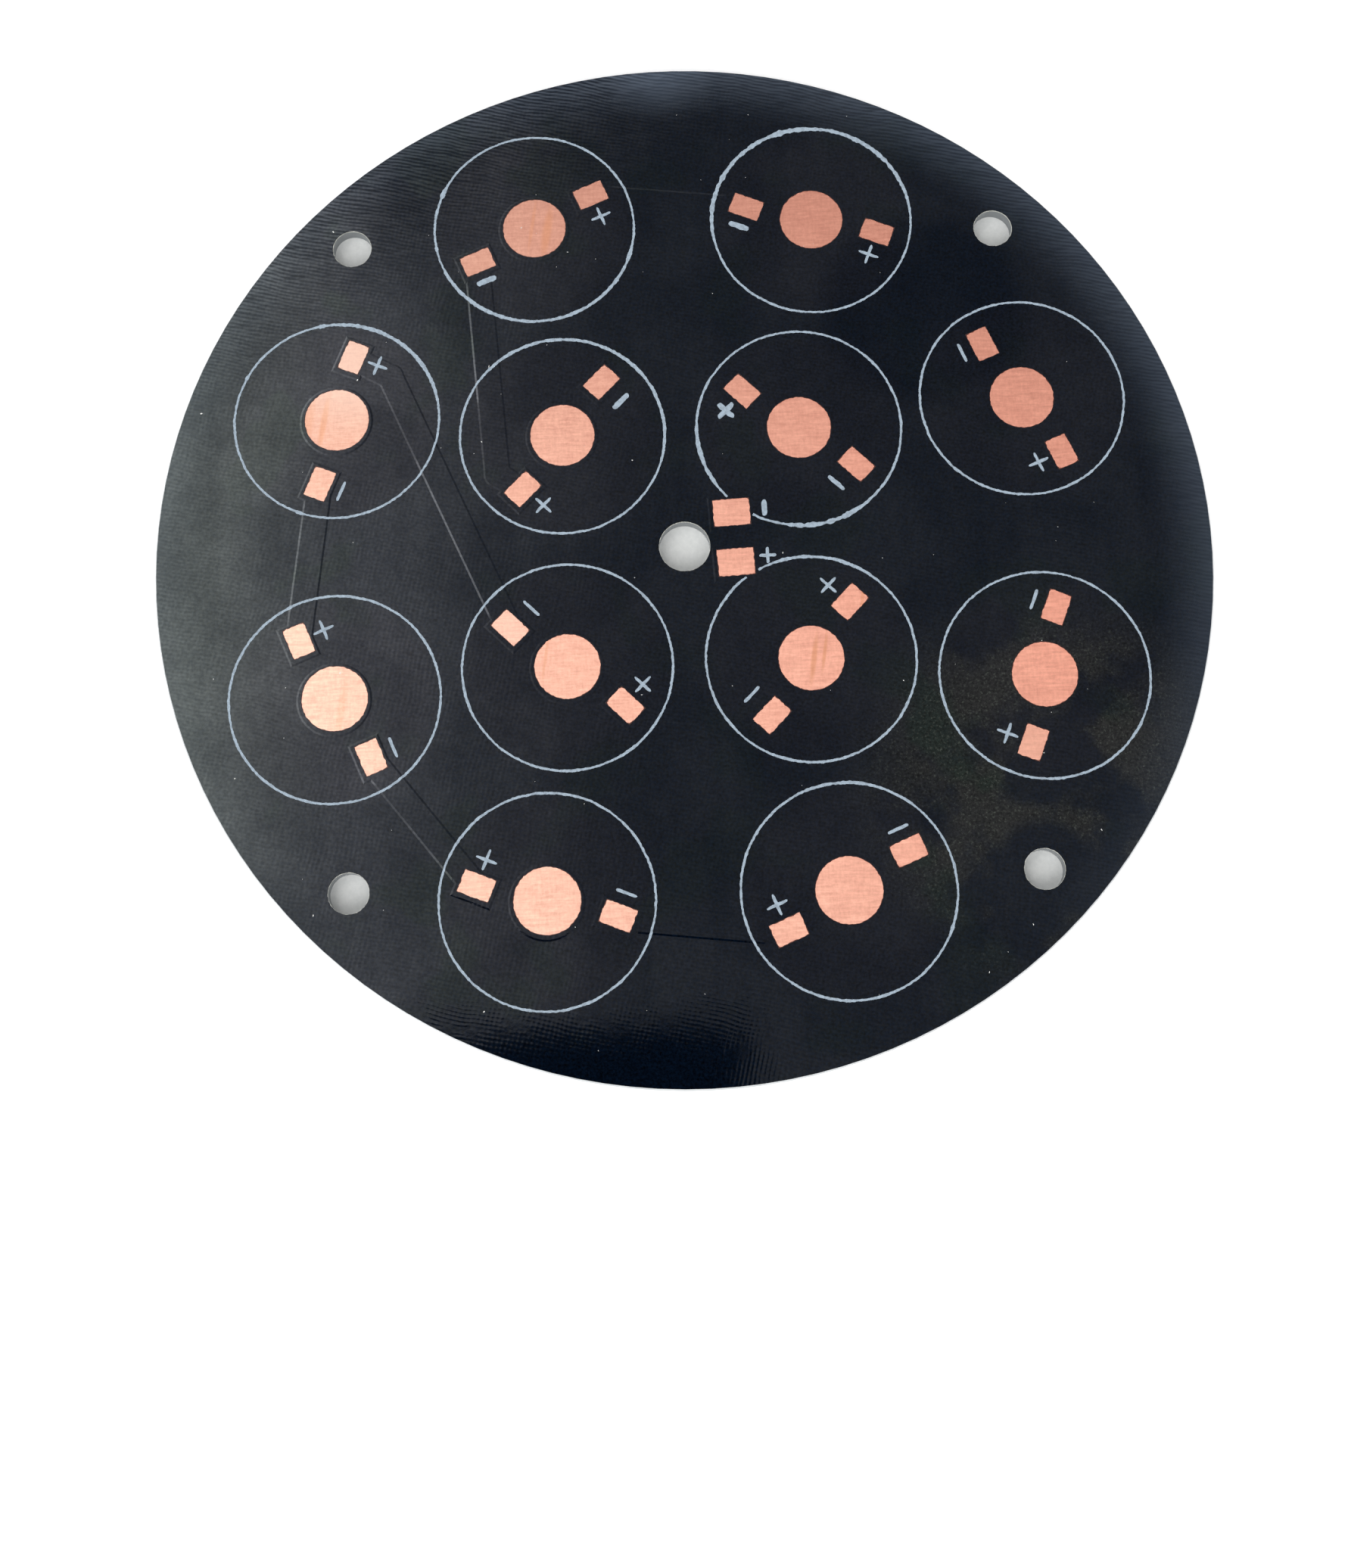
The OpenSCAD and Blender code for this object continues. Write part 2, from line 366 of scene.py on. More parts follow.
def flowed_normal(tree, across, nearest):
    """The lacquer flows level over the shoulders of the lands, and of the tracks towards the right."""
    form = add(tree, "NewGeometry", {})
    lean = add(tree, "SeparateXYZ", {0: form.outputs["Normal"]})
    gentle = add(tree, "MapRange", {"Value": lean.outputs["Z"], START: 0.9, END: 0.95})
    on_track = add(tree, "MapRange", {"Value": across, START: -32, END: -12, AT_START: 1.0, AT_END: 0.3})
    shaded = add(tree, "MapRange", {
        "Value": lean.outputs["X"], START: 0.0, END: 0.06, AT_START: 1.0, AT_END: 0.3})
    on_track = add(tree, "Math", {0: on_track, 1: shaded}, **TIMES)
    on_land = add(tree, "MapRange", {"Value": across, START: -40, END: -10, AT_START: 0.35, AT_END: 0.12})
    land = add(tree, "MapRange", {"Value": nearest, START: 10.3, END: 9.6}, **SMOOTH)
    kept = add(tree, "Mix", {"Factor": land, VALUE_A: on_track, VALUE_B: on_land})
    kept = add(tree, "Mix", {"Factor": gentle, VALUE_A: 1.0, VALUE_B: kept})
    levelled = add(tree, "Mix", {"Factor": kept, VECTOR_A: UP, VECTOR_B: form.outputs["Normal"]}, **VECTORS)
    return add(tree, "VectorMath", {0: levelled}, operation="NORMALIZE")


def squeegee_strokes(tree, woven, weft, axes):
    """Strokes along the threads, and how hard they show, which is most at the far left corner."""
    wiped = add(tree, "Mapping", {"Vector": woven, "Rotation": (0, 0, THREAD_TURN), "Scale": STROKE_STRETCH})
    stroke = add(tree, "TexNoise", {"Vector": wiped, "Scale": 1.0, "Detail": 2})
    stroke = add(tree, "Math", {0: weft, 1: 0.4, 2: stroke}, **TIMES_PLUS)
    corner = add(tree, "Math", {0: axes.outputs["X"], 1: -0.5, 2: axes.outputs["Y"]}, **TIMES_PLUS)
    harder = add(tree, "MapRange", {"Value": corner, START: 43, END: 58, AT_START: 0.04, AT_END: 0.45})
    return stroke, harder


def mirror_level(tree, place, woven, mesh, stroke, harder):
    """How much the skin mirrors: drifts, grain, threads, bands, strokes and dark clouds, multiplied."""
    drift = add(tree, "TexNoise", {"Vector": place, "Scale": 1 / DRIFT_SIZE, "Detail": 3, "Roughness": 0.5})
    mirror = add(tree, "MapRange", {
        "Value": drift, START: 0.4, END: 0.6, AT_START: 0.84, AT_END: 1.14}, **SMOOTH)
    fine = add(tree, "TexNoise", {"Vector": place, "Scale": 1 / FINE_SIZE, "Detail": 1})
    fine_tone = add(tree, "MapRange", {"Value": fine, START: 0.3, END: 0.7, AT_START: 0.82, AT_END: 1.18})
    thread_tone = add(tree, "MapRange", {"Value": mesh, START: 0.0, END: 1.2, AT_START: 0.93, AT_END: 1.07})
    bands = add(tree, "Mapping", {"Vector": place, "Scale": SWATH_STRETCH})
    swath = add(tree, "TexNoise", {"Vector": bands, "Scale": 1.0, "Detail": 2})
    swath_tone = add(tree, "MapRange", {"Value": swath, START: 0.35, END: 0.65, AT_START: 0.95, AT_END: 1.05})
    stroke_tone = add(tree, "MapRange", {"Value": stroke, START: 0.5, END: 0.9, AT_START: -1.0, AT_END: 1.0})
    stroke_tone = add(tree, "Math", {0: stroke_tone, 1: harder, 2: 1.0}, **TIMES_PLUS)
    tones = [fine_tone, thread_tone, swath_tone, stroke_tone]
    for x, y, full, end, share in DARK_CLOUDS:
        away = add(tree, "VectorMath", {0: woven, 1: (x, y, copper_top)}, **APART)
        tones.append(add(tree, "MapRange", {
            "Value": away, START: end, END: full, AT_START: 1.0, AT_END: share}, **SMOOTH))
    for tone in tones + [MIRROR_SHARE]:
        mirror = add(tree, "Math", {0: mirror, 1: tone}, **TIMES)
    return mirror


def dusty_haze(tree, place):
    """Dust left on the lower right by blotches, wiped off round the screw hole there."""
    away = add(tree, "VectorMath", {0: place, 1: HAZE_MIDDLE}, **APART)
    near = add(tree, "MapRange", {"Value": away, START: HAZE_RADII[0], END: HAZE_RADII[1]}, **SMOOTH)
    hole = add(tree, "VectorMath", {0: place, 1: HAZE_HOLE}, **APART)
    clean = add(tree, "MapRange", {
        "Value": hole, START: HAZE_HOLE_RADII[0], END: HAZE_HOLE_RADII[1]}, **SMOOTH)
    mottle = add(tree, "TexNoise", {
        "Vector": place, "Scale": 1 / HAZE_BLOTCH_SIZE, "Detail": 4, "Roughness": 0.55})
    blotch = add(tree, "MapRange", {"Value": mottle, START: 0.4, END: 0.56}, **SMOOTH)
    haze = add(tree, "Math", {0: near, 1: blotch}, **TIMES)
    return add(tree, "Math", {0: haze, 1: clean}, **TIMES)


def painted_rim_sheen(tree, place, axes, stroke, harder):
    """Painted sheen for the light that the rim mirrors: a film paler towards the cut edge, in streaks, and
    clean at the near side.
    """
    out = add(tree, "VectorMath", {0: place}, **LENGTH)
    rim = add(tree, "MapRange", {"Value": out, START: SHEEN_RIM_RADII[0], END: SHEEN_RIM_RADII[1]})
    rim = add(tree, "Math", {0: rim, 1: SHEEN_RIM_FALL}, **POWER)
    side = add(tree, "MapRange", {"Value": axes.outputs["Y"], START: -45, END: 8})
    leftward = add(tree, "MapRange", {
        "Value": axes.outputs["X"], START: -35, END: -5, AT_START: 0.45, AT_END: 1.0})
    scored = add(tree, "MapRange", {"Value": stroke, START: 0.5, END: 0.9, AT_START: -1.5, AT_END: 1.5})
    raked = add(tree, "MapRange", {
        "Value": axes.outputs["Y"], START: 0, END: 50, AT_START: 0.12, AT_END: 0.28})
    raked = add(tree, "Math", {0: raked, 1: harder}, **MOST)
    sheen_streaks = add(tree, "Math", {0: scored, 1: raked, 2: 1.0}, **TIMES_PLUS)
    for share in (side, leftward, sheen_streaks):
        rim = add(tree, "Math", {0: rim, 1: share}, **TIMES)
    far_end = add(tree, "VectorMath", {0: place, 1: FAR_SHEEN_SPOT}, **APART)
    pale = add(tree, "MapRange", {
        "Value": far_end, START: FAR_SHEEN_SPOT_RADII[0], END: FAR_SHEEN_SPOT_RADII[1]}, **SMOOTH)
    return add(tree, "Math", {0: rim, 1: pale})


# Solder mask: a mirror black skin with a blue body, clouded, specked, and woven by the printing screen
def solder_mask_lacquer():
    made, tree, place = start("solder_mask_lacquer")
    axes = add(tree, "SeparateXYZ", {0: place})
    nearest = nearest_site(tree, place)
    woven, weft, mesh = screen_weave(tree, place)
    stroke, harder = squeegee_strokes(tree, woven, weft, axes)
    mirror = mirror_level(tree, place, woven, mesh, stroke, harder)
    haze = dusty_haze(tree, place)
    # rim: painted sheen towards the cut edge, for the light that the rim mirrors
    rim = painted_rim_sheen(tree, place, axes, stroke, harder)
    grain = add(tree, "TexNoise", {"Vector": place, "Scale": 1 / GRAIN_SIZE, "Detail": 2})
    height = add(tree, "Math", {0: grain, 1: GRAIN_SHARE, 2: mesh}, **TIMES_PLUS)
    bump = add(tree, "Bump", {
        "Height": height, "Strength": 1.0, "Distance": RELIEF * MM,
        "Normal": flowed_normal(tree, axes.outputs["X"], nearest)})
    # The mirror's tint: a little bluer outside the rings, and greenish by spots and at the far left
    inside = add(tree, "MapRange", {"Value": nearest, START: RING_R + 1.5, END: RING_R - 1.5}, **SMOOTH)
    tint = add(tree, "Mix", {
        "Factor": inside, COLOUR_A: linear("#f4f8ff"), COLOUR_B: linear("#f6f7ff")}, **COLOURS)
    elsewhere = add(tree, "VectorMath", {0: place, 1: TINGE_SHIFT})
    tinge = add(tree, "TexNoise", {"Vector": elsewhere, "Scale": 1 / TINGE_SIZE, "Detail": 3})
    spots = add(tree, "MapRange", {"Value": tinge, START: 0.54, END: 0.64}, **SMOOTH)
    leftmost = add(tree, "MapRange", {"Value": axes.outputs["X"], START: -36, END: -52})
    green = add(tree, "Math", {0: spots, 1: leftmost}, **MOST)
    tint = add(tree, "Mix", {"Factor": green, COLOUR_A: tint, COLOUR_B: linear("#eef9f2")}, **COLOURS)
    # The body: blue black, under the haze with its powder, then specks, then the painted rim sheen
    body = add(tree, "Mix", {
        "Factor": inside, COLOUR_A: linear("#020711"), COLOUR_B: linear("#050912")}, **COLOURS)
    film = add(tree, "Mix", {
        "Factor": spots, COLOUR_A: linear("#181817"), COLOUR_B: linear("#141a17")}, **COLOURS)
    body = add(tree, "Mix", {"Factor": haze, COLOUR_A: body, COLOUR_B: film}, **COLOURS)
    powder = add(tree, "TexNoise", {"Vector": place, "Scale": 1 / POWDER_SIZE, "Detail": 1})
    sparse = add(tree, "MapRange", {"Value": powder, START: 0.56, END: 0.72})
    sparse = add(tree, "Math", {0: sparse, 1: haze}, **TIMES)
    body = add(tree, "Mix", {"Factor": sparse, COLOUR_A: body, COLOUR_B: linear("#2c2f2b")}, **COLOURS)
    speck = add(tree, "TexNoise", {"Vector": place, "Scale": 1 / SPECK_SIZE, "Detail": 2, "Roughness": 0.7})
    speckle = add(tree, "MapRange", {"Value": speck, START: 0.3, END: 0.7, AT_START: 0.2, AT_END: 1.8})
    body = add(tree, "VectorMath", {0: body, "Scale": speckle}, **RESIZE)
    # Painted sheen: the body is drawn paler and bluer towards the rim
    body = add(tree, "Mix", {
        "Factor": rim, COLOUR_A: body, COLOUR_B: linear("#2b323c")}, clamp_factor=False, **COLOURS)
    rough = add(tree, "MapRange", {"Value": haze, AT_START: 0.045, AT_END: 0.09})
    close(tree, add(tree, "BsdfPrincipled", {
        "Base Color": body, "Roughness": rough, "Normal": bump,
        "Specular IOR Level": mirror, "Specular Tint": tint}))
    return made


# Marks on the copper, brown streaks and pale patches, the first patch a painted reflection of the window: x,
# y, half width, half length, strength
COPPER_STREAKS = (
    (-38.3, 15.3, 0.5, 4.0, 0.45),
    (-40.0, 15.3, 0.8, 4.0, 0.25),
    (-13.9, 36.6, 0.7, 4.0, 0.4),
    (-15.5, 37.4, 0.3, 4.0, 0.3),
    (13.05, -12.7, 0.42, 3.6, 0.5),
    (14.2, -12.0, 0.28, 2.8, 0.5),
    (-36.2, -16.2, 0.6, 4.0, 0.2),
    (-14.9, -11.2, 0.25, 4.0, 0.3),
    (18.6, -5.6, 0.3, 4.0, 0.4),
    (35.2, -22.4, 2.4, 4.0, 0.12),
)
PALE_PATCHES_AND_GLINT = (
    # Painted reflection of the window, on the copper at the far left
    (-35.2, 22.4, 10.0, 10.0, 0.3),
    (-18.6, -8.4, 4.0, 4.0, 0.15),
    (35.2, -22.4, 4.0, 4.0, 0.12),
)
STREAK_COLOUR = "#da9263"
PATCH_AND_GLINT_COLOUR = "#ffeedd"
STREAK_LEAN = math.radians(9)
MARK_CORE = 0.3  # share of a mark's size within which it is at full strength

# The scrubbing is drawn about twice as coarse as it is, to be seen: lines in a millimetre along x and y
SCRUB_TURN = math.radians(3)
SCRUB_STRETCH = (0.5, 4.2, 1)
BRUSH_STRETCH = (4.0, 0.7, 1)
BRUSH_SHARE = 0.45
PIT_SIZE = 0.3
PIT_SHARE = 0.6
SCRUB_RELIEF = 0.003


# Copper foil: salmon pink and satin, scrubbed in fine lines, with painted light making it paler at the near
# left and painted shade making it darker at the far side
def copper_foil():
    made, tree, place = start("copper_foil")
    axes = add(tree, "SeparateXYZ", {0: place})
    along = add(tree, "Mapping", {"Vector": place, "Rotation": (0, 0, SCRUB_TURN), "Scale": SCRUB_STRETCH})
    scrub = add(tree, "TexNoise", {"Vector": along, "Scale": 1.0, "Detail": 3, "Roughness": 0.65})
    across = add(tree, "Mapping", {"Vector": place, "Scale": BRUSH_STRETCH})
    brush = add(tree, "TexNoise", {"Vector": across, "Scale": 1.0, "Detail": 3, "Roughness": 0.6})
    lines = add(tree, "Math", {0: brush, 1: BRUSH_SHARE, 2: scrub}, **TIMES_PLUS)
    pitted = add(tree, "TexNoise", {"Vector": place, "Scale": 1 / PIT_SIZE, "Detail": 2, "Roughness": 0.7})
    worn = add(tree, "Math", {0: pitted, 1: PIT_SHARE, 2: lines}, **TIMES_PLUS)
    tone = add(tree, "MapRange", {"Value": worn, START: 0.73, END: 1.32, AT_START: 0.9, AT_END: 1.1})
    rosy = add(tree, "MapRange", {"Value": worn, START: 0.73, END: 1.32, AT_START: 0.35, AT_END: 0.0})
    # Painted light: the copper is drawn paler towards the near left, where the light falls
    slant = add(tree, "Math", {0: axes.outputs["Y"], 1: 0.5, 2: axes.outputs["X"]}, **TIMES_PLUS)
    painted_left_light = add(tree, "MapRange", {"Value": slant, START: -45, END: 35})
    painted_left_light = add(tree, "Math", {0: painted_left_light, 1: 0.75}, **POWER)
    colour = add(tree, "Mix", {
        "Factor": painted_left_light, COLOUR_A: linear("#ffd5bd"), COLOUR_B: linear("#ffb59d")}, **COLOURS)
    colour = add(tree, "Mix", {"Factor": rosy, COLOUR_A: colour, COLOUR_B: linear("#e88a74")}, **COLOURS)
    # Painted shade: the copper is drawn darker towards the far side
    painted_far_shade = add(tree, "MapRange", {
        "Value": axes.outputs["Y"], START: -8, END: 45, AT_START: 0.95, AT_END: 0.635})
    level = add(tree, "Math", {0: tone, 1: painted_far_shade}, **TIMES)
    colour = add(tree, "VectorMath", {0: colour, "Scale": level}, **RESIZE)
    marks = [(mark, STREAK_COLOUR) for mark in COPPER_STREAKS]
    # The pale patches include the painted reflection of the window
    marks += [(mark, PATCH_AND_GLINT_COLOUR) for mark in PALE_PATCHES_AND_GLINT]
    for (x, y, half, length, share), hex_colour in marks:
        away = add(tree, "VectorMath", {0: place, 1: (x, y, copper_top)}, operation="SUBTRACT")
        leaned = add(tree, "Mapping", {"Vector": away, "Rotation": (0, 0, STREAK_LEAN)})
        scaled = add(tree, "VectorMath", {0: leaned, 1: (half, length, 1.0)}, operation="DIVIDE")
        reach = add(tree, "VectorMath", {0: scaled}, **LENGTH)
        amount = add(tree, "MapRange", {"Value": reach, START: 1.0, END: MARK_CORE, AT_END: share}, **SMOOTH)
        colour = add(tree, "Mix", {
            "Factor": amount, COLOUR_A: colour, COLOUR_B: linear(hex_colour)}, **COLOURS)
    rough = add(tree, "MapRange", {"Value": scrub, AT_START: 0.42, AT_END: 0.52})
    bump = add(tree, "Bump", {"Height": lines, "Strength": 1.0, "Distance": SCRUB_RELIEF * MM})
    close(tree, add(tree, "BsdfPrincipled", {
        "Base Color": colour, "Metallic": 0.85, "Roughness": rough, "Normal": bump}))
    return made


# Legend ink: pale blue grey and chalky, thin in places so that the dark mask shows through
def legend_ink():
    speck_size = 0.4
    relief = 0.004
    made, tree, place = start("legend_ink")
    speck = add(tree, "TexNoise", {"Vector": place, "Scale": 1 / speck_size, "Detail": 3})
    thin = add(tree, "MapRange", {"Value": speck, START: 0.35, END: 0.6}, **SMOOTH)
    colour = add(tree, "Mix", {
        "Factor": thin, COLOUR_A: linear("#818e9a"), COLOUR_B: linear("#91a0ad")}, **COLOURS)
    bump = add(tree, "Bump", {"Height": speck, "Strength": 1.0, "Distance": relief * MM})
    close(tree, add(tree, "BsdfPrincipled", {"Base Color": colour, "Roughness": 0.6, "Normal": bump}))
    return made


# Aluminium core: mill finish, pale grey with fine straight lines along one direction, with painted shade in
# the bores
def rolled_aluminium():
    roll_stretch = (0.06, 5.0, 5.0)  # lines in a millimetre, fewer than the real ones, to be seen
    relief = 0.003
    made, tree, place = start("rolled_aluminium")
    along = add(tree, "Mapping", {"Vector": place, "Scale": roll_stretch})
    lines = add(tree, "TexNoise", {"Vector": along, "Scale": 1.0, "Detail": 4, "Roughness": 0.6})
    rough = add(tree, "MapRange", {"Value": lines, AT_START: 0.3, AT_END: 0.5})
    colour = add(tree, "Mix", {
        "Factor": lines, COLOUR_A: linear("#b4b7b9"), COLOUR_B: linear("#d3d5d6")}, **COLOURS)
    bump = add(tree, "Bump", {"Height": lines, "Strength": 1.0, "Distance": relief * MM})
    # Painted shade: the walls of the bores are drawn darker
    form = add(tree, "NewGeometry", {})
    lean = add(tree, "SeparateXYZ", {0: form.outputs["Normal"]})
    steep = add(tree, "Math", {0: lean.outputs["Z"]}, operation="ABSOLUTE")
    wall = add(tree, "MapRange", {"Value": steep, START: 0.5, END: 0.3})
    out = add(tree, "VectorMath", {0: place}, **LENGTH)
    inboard = add(tree, "MapRange", {"Value": out, START: BORE_FIELD_R + 0.5, END: BORE_FIELD_R})
    painted_bore_shade = add(tree, "Math", {0: wall, 1: inboard}, **TIMES)
    colour = add(tree, "Mix", {"Factor": painted_bore_shade, COLOUR_A: colour, COLOUR_B: linear("#9a9da0")}, **COLOURS)
    close(tree, add(tree, "BsdfPrincipled", {
        "Base Color": colour, "Metallic": 1.0, "Roughness": rough, "Normal": bump}))
    return made


# Dielectric: the cream filled resin under the copper, bare in a hair line round each hole
def filled_resin():
    filler_size = 0.2  # coarser than the real filler, to be seen
    made, tree, place = start("filled_resin")
    speck = add(tree, "TexNoise", {"Vector": place, "Scale": 1 / filler_size, "Detail": 2})
    colour = add(tree, "Mix", {
        "Factor": speck, COLOUR_A: linear("#a9a99f"), COLOUR_B: linear("#d8d7cd")}, **COLOURS)
    close(tree, add(tree, "BsdfPrincipled", {"Base Color": colour, "Roughness": 0.55}))
    return made


# Thin mask: the lacquer's feathered edge on bare copper, black at the window's wall and brown red at its tip
def thin_lacquer():
    made, tree, _ = start("thin_lacquer")
    tip = add(tree, "Attribute", {}, attribute_name="tip")
    colour = add(tree, "Mix", {
        "Factor": tip.outputs["Fac"], COLOUR_A: linear("#0a0a0c"), COLOUR_B: linear("#57261a")}, **COLOURS)
    close(tree, add(tree, "BsdfPrincipled", {"Base Color": colour, "Roughness": 0.35}))
    return made


# Dust: dry off-white grains and flakes lying on the lacquer
def dry_dust():
    speck_size = 1.5
    made, tree, place = start("dry_dust")
    speck = add(tree, "TexNoise", {"Vector": place, "Scale": 1 / speck_size, "Detail": 1})
    colour = add(tree, "Mix", {
        "Factor": speck, COLOUR_A: linear("#a9aaa6"), COLOUR_B: linear("#f0f0ec")}, **COLOURS)
    close(tree, add(tree, "BsdfPrincipled", {"Base Color": colour, "Roughness": 0.8}))
    return made


# White paper: matt and faintly fibrous, with painted shade that makes it greyer under the board, and lifted
# to full white beside it
def white_paper():
    fibre_size = 0.6
    made, tree, place = start("white_paper")
    out = add(tree, "VectorMath", {0: place}, **LENGTH)
    open_floor = add(tree, "MapRange", {"Value": out, START: OPEN_FLOOR[0], END: OPEN_FLOOR[1]})
    fibre = add(tree, "TexNoise", {"Vector": place, "Scale": 1 / fibre_size, "Detail": 3, "Roughness": 0.7})
    # Painted shade: the paper under the board, seen through the holes, is drawn greyer
    shade = add(tree, "Mix", {
        "Factor": fibre, COLOUR_A: linear("#babcbb"), COLOUR_B: linear("#d6d7d5")}, **COLOURS)
    colour = add(tree, "Mix", {"Factor": open_floor, COLOUR_A: shade, COLOUR_B: linear("#f4f4f4")}, **COLOURS)
    matt = add(tree, "BsdfDiffuse", {"Color": colour})
    path = add(tree, "LightPath", {}).outputs
    seen = add(tree, "Math", {0: path["Is Camera Ray"], 1: path["Is Glossy Ray"]}, **MOST)
    seen = add(tree, "Math", {0: seen, 1: path["Is Transmission Ray"]}, **MOST)
    lift = add(tree, "Math", {0: seen, 1: open_floor}, **TIMES)
    lift = add(tree, "Math", {0: lift, 1: FLOOR_GLOW}, **TIMES)
    glow = add(tree, "Emission", {"Color": linear("#ffffff"), "Strength": lift})
    sheet = add(tree, "AddShader", {0: matt, 1: glow})
    form = add(tree, "NewGeometry", {})
    nothing = add(tree, "BsdfTransparent", {})
    close(tree, add(tree, "MixShader", {0: form.outputs["Backfacing"], 1: sheet, 2: nothing}))
    return made


lacquer = solder_mask_lacquer()
copper = copper_foil()
ink = legend_ink()
feather = thin_lacquer()

copper_names = [f"copper_track_{i}" for i in range(1, NET_COUNT + 1)]
copper_names += [f"copper_slug_pad_{k}" for k in range(1, SITE_COUNT + 1)]
finishes = {"base_plate": rolled_aluminium(), "dielectric_layer": filled_resin(), "solder_mask": lacquer}
finishes.update({name: copper for name in copper_names})
finishes.update({f"printed_ring_{k}": ink for k in range(1, SITE_COUNT + 1)})
for name, finish in finishes.items():
    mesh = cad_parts[name].data
    mesh.materials.clear()
    mesh.materials.append(finish)


def skin(names):
    """The faces of some CAD nodes, to find the height of the board's top at a point."""
    points = []
    faces = []
    for name in names:
        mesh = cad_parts[name].data
        faces += [[i + len(points) for i in face.vertices] for face in mesh.polygons]
        points += [v.co / MM for v in mesh.vertices]
    return BVHTree.FromPolygons(points, faces)


top = skin(["dielectric_layer", "solder_mask"] + copper_names)
CLEAR_ABOVE = 9 * UP  # where a ray down to the board starts


def top_height(point):
    """Height of the board's top under a point."""
    return top.ray_cast(point.xy.to_3d() + CLEAR_ABOVE, -UP)[0].z


def new_verts(made):
    """The vertices among what an operator made."""
    return [part for part in made["geom"] if isinstance(part, bmesh.types.BMVert)]


def edges_of(verts):
    """The edges at some vertices, each once, in their order."""
    return list(dict.fromkeys(edge for v in verts for edge in v.link_edges))


def lay(bm):
    """Drops a flat drawing on the board's top."""
    for v in bm.verts:
        v.co.z = top_height(v.co)


def thicken(bm, thick):
    """Raises a thin drawing to its thickness."""
    raised = new_verts(bmesh.ops.extrude_face_region(bm, geom=bm.faces[:]))
    bmesh.ops.translate(bm, vec=thick * UP, verts=raised)


def link_object(name, bm, finish):
    """A drawing as an object of the scene, at the origin."""
    mesh = bpy.data.meshes.new(name)
    bm.to_mesh(mesh)
    bm.free()
    mesh.materials.append(finish)
    made = bpy.data.objects.new(name, mesh)
    bpy.context.scene.collection.objects.link(made)
    return made


def finish_piece(name, bm, finish):
    """A drawing in millimetres as a piece of the board, with the finish in a material slot of its own."""
    bmesh.ops.recalc_face_normals(bm, faces=bm.faces[:])
    bmesh.ops.scale(bm, vec=Vector((MM, MM, MM)), verts=bm.verts[:])
    made = link_object(name, bm, finish)
    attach(made, "root")
    return made


def ragged(point, size, seed):
    """An uneven value from about -1 to 1 that changes over the given size."""
    gain = 1.6
    seed_step = 7.3
    return gain * noise.noise(Vector((point.x / size, point.y / size, seed_step * seed)))


def at(spot, heading):
    """Moves a drawing from the origin to a place on the board."""
    return Matrix.Translation(spot) @ Matrix.Rotation(heading, 4, "Z")


def in_feed_window(point):
    """Whether a point is over a feed pad's window or the bare gap round it."""
    for spot in FEED_MIDDLES:
        local = at(spot + film_shift, FEED_TURN).inverted() @ point.xy.to_3d()
        if all(abs(local[i]) < FEED_WINDOW[i] / 2 + FEED_CLEAR for i in (0, 1)):
            return True
    return False


def half_line(point, site, edge):
    """Half the width of a ring's line at a point, on its inner edge, -1, or its outer edge, 1."""
    turn = math.degrees(math.atan2(point.y, point.x))
    half = RING_LINE / 2
    for blotted, heading, spread, added in RING_BLOTS:
        if blotted == site:
            off = abs((turn - heading + 180) % 360 - 180) / spread
            torn = 1 + BLOT_WAVE * ragged(point, BLOT_WAVE_SIZE, BLOT_WAVE_SEED + site)
            torn += BLOT_TEAR * ragged(point, BLOT_TEAR_SIZE, BLOT_TEAR_SEED + site)
            half += added / 2 * max(0, 1 - off ** BLOT_FALL) * torn
    half += NICK_DEPTH * ragged(point, NICK_SIZE, site + EDGE_SEED * edge)
    half += WAVE_DEPTH * ragged(point, WAVE_SIZE, site - EDGE_SEED * edge)
    return max(half, LEAST_HALF_LINE)


# Printed rings with uneven edges, one on each site
for k in range(1, SITE_COUNT + 1):
    bm = bmesh.new()
    bmesh.ops.create_circle(bm, segments=RING_STEPS, radius=RING_R)
    inner = bm.verts[:]
    outer = new_verts(bmesh.ops.extrude_edge_only(bm, edges=bm.edges[:]))
    for verts, edge in ((inner, -1), (outer, 1)):
        for v in verts:
            v.co *= (RING_R + edge * half_line(v.co, k, edge)) / RING_R
    bmesh.ops.translate(bm, vec=middle(f"printed_ring_{k}"), verts=bm.verts[:])
    broken = [f for f in bm.faces if any(in_feed_window(v.co) for v in f.verts)]
    bmesh.ops.delete(bm, geom=broken, context="FACES")
    lay(bm)
    thicken(bm, INK_T)
    ring = finish_piece(f"ring_print_{k}", bm, ink)
    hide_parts(f"printed_ring_{k}")


